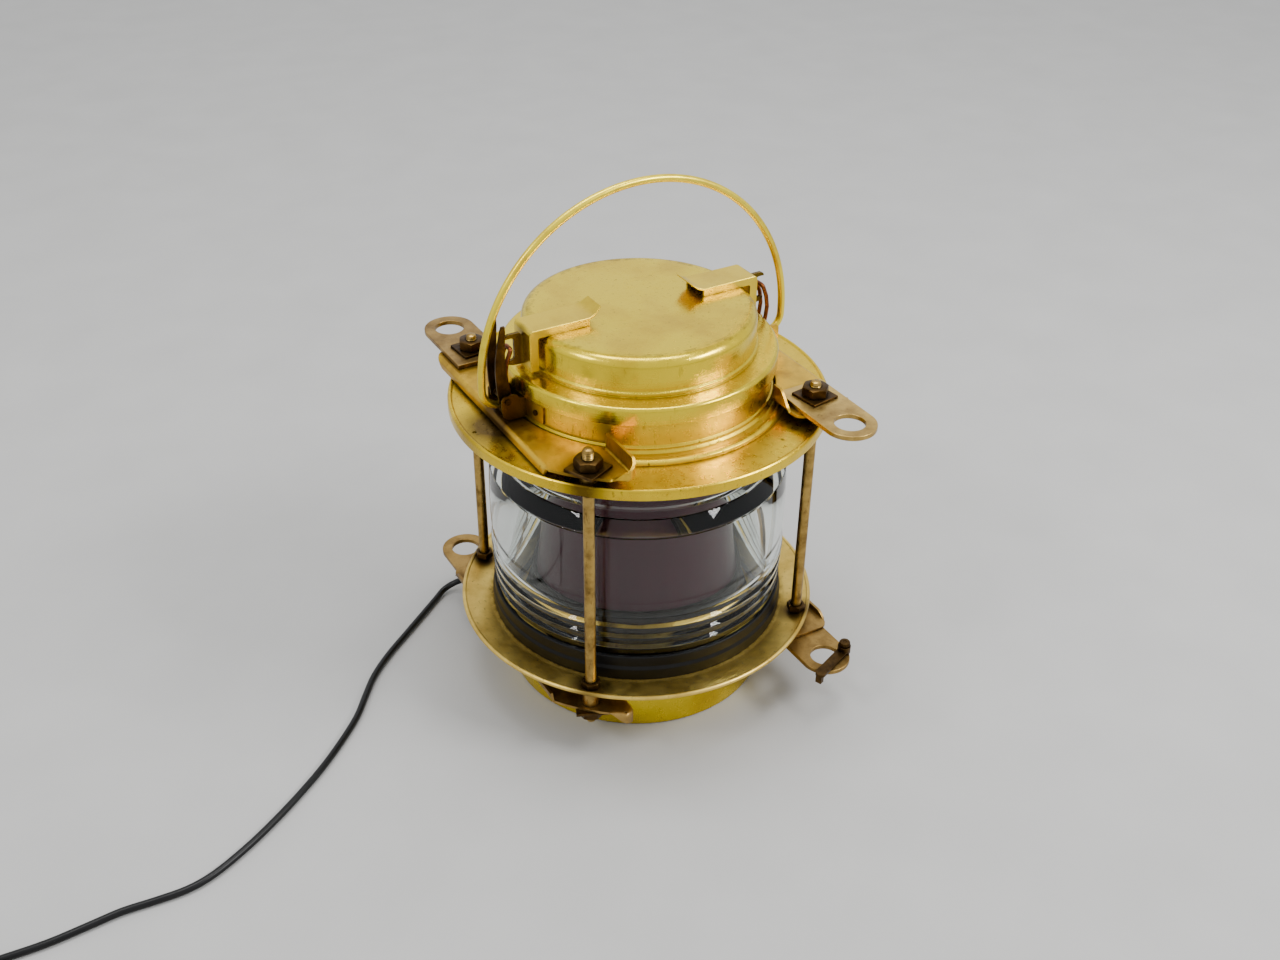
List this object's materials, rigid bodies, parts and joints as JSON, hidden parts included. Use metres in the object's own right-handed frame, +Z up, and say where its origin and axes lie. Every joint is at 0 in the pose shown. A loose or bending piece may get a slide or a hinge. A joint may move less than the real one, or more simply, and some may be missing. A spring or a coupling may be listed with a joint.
{
  "type": "ship's hoisting lamp",
  "caption": "Brass ship's lamp with a dioptric glass, guard rods, guide eyes for hoisting wires, latched lid, swinging bail and mains cord.",
  "frame": {"origin": "centre of the lamp's foot, on the floor", "axes": "+Z up along the lamp's axis, X along the line of the two latches and the bail's pivots, Y along the cross bars; +X is the side of the plain link, -X the side of the latch lever"},
  "size_m": [0.7253, 0.3141, 0.3982],
  "materials": {
    "bright_brass": "satin",
    "aged_brass": "satin",
    "dark_brass": "matte",
    "link_wire": "satin",
    "lens_glass": "gloss",
    "bulb_glass": "gloss",
    "sleeve_glass": "gloss",
    "black_rubber": "matte",
    "insulator": "matte",
    "plated_metal": "satin",
    "lead_insulation": "matte"
  },
  "bodies": {
    "lamp_body": {"base_drum": "bright_brass", "base_plate": "aged_brass", "base_screws": "dark_brass", "lower_flange": "bright_brass", "lens_gasket_lower": "black_rubber", "lens": "lens_glass", "lens_gasket_upper": "black_rubber", "upper_flange": "bright_brass", "neck": "bright_brass", "guard_rods": "aged_brass", "rod_spacers": "aged_brass", "flange_nuts": "dark_brass", "upper_bar_left": "bright_brass", "upper_bar_right": "bright_brass", "lower_bar_left": "aged_brass", "lower_bar_right": "aged_brass", "guide_eye_upper_left": "aged_brass", "guide_eye_upper_right": "aged_brass", "guide_eye_lower_left": "aged_brass", "guide_eye_lower_right": "aged_brass", "square_washers": "dark_brass", "rod_end_nuts": "dark_brass", "wire_lock_bolt": "dark_brass", "bracket_left": "bright_brass", "bracket_right": "bright_brass", "bracket_rivets": "dark_brass", "latch_pin_left": "dark_brass", "latch_pin_right": "dark_brass", "lamp_tray": "aged_brass", "sleeve_seat": "aged_brass", "colour_sleeve": "sleeve_glass", "sleeve_cap": "aged_brass", "lampholder": "insulator", "bulb_glass": "bulb_glass", "bulb_cap": "plated_metal", "terminal_block": "insulator", "inner_lead": "lead_insulation", "cable_gland": "bright_brass", "gland_nut": "bright_brass", "strain_relief": "black_rubber", "cord_run": "black_rubber", "cord_coil": "black_rubber", "cord_tail": "black_rubber", "plug_body": "black_rubber", "plug_pins": "plated_metal"},
    "lid_assembly": {"lid": "bright_brass", "strap_left": "bright_brass", "strap_right": "bright_brass"},
    "bail_handle": {"bail": "bright_brass"},
    "lever": {"latch_lever": "aged_brass"},
    "left_link": {"link_left": "link_wire"},
    "right_link": {"link_right": "link_wire"},
    "lock_arm": {"wire_lock": "aged_brass"}
  },
  "joints": [
    {"name": "bail_swing", "type": "hinge", "parent": "lamp_body", "child": "bail_handle", "pos_m": [0, 0, 0.255], "axis": [1, 0, 0], "range_deg": [-75, 75]},
    {"name": "lever_open", "type": "hinge", "parent": "lamp_body", "child": "lever", "pos_m": [-0.11, 0, 0.262], "axis": [0, -1, 0], "range_deg": [0, 70]},
    {"name": "left_link_fold", "type": "hinge", "parent": "lever", "child": "left_link", "pos_m": [-0.1046, 0, 0.2594], "axis": [0, -1, 0], "range_deg": [-61, 0]},
    {"name": "right_link_swing", "type": "hinge", "parent": "lamp_body", "child": "right_link", "pos_m": [0.1052, 0, 0.2632], "axis": [0, 1, 0], "range_deg": [0, 20]},
    {"name": "lid_lift", "type": "slide", "parent": "lamp_body", "child": "lid_assembly", "axis": [0, 0, 1], "range_m": [0, 0.008]},
    {"name": "wire_lock_turn", "type": "hinge", "parent": "lamp_body", "child": "lock_arm", "pos_m": [0.10579, -0.1355, 0.0427], "axis": [0, 0, 1], "range_deg": [0, 110]}
  ],
  "couplings": [
    {"joint": "left_link_fold", "follows": "lever_open", "ratio": -0.868}
  ]
}
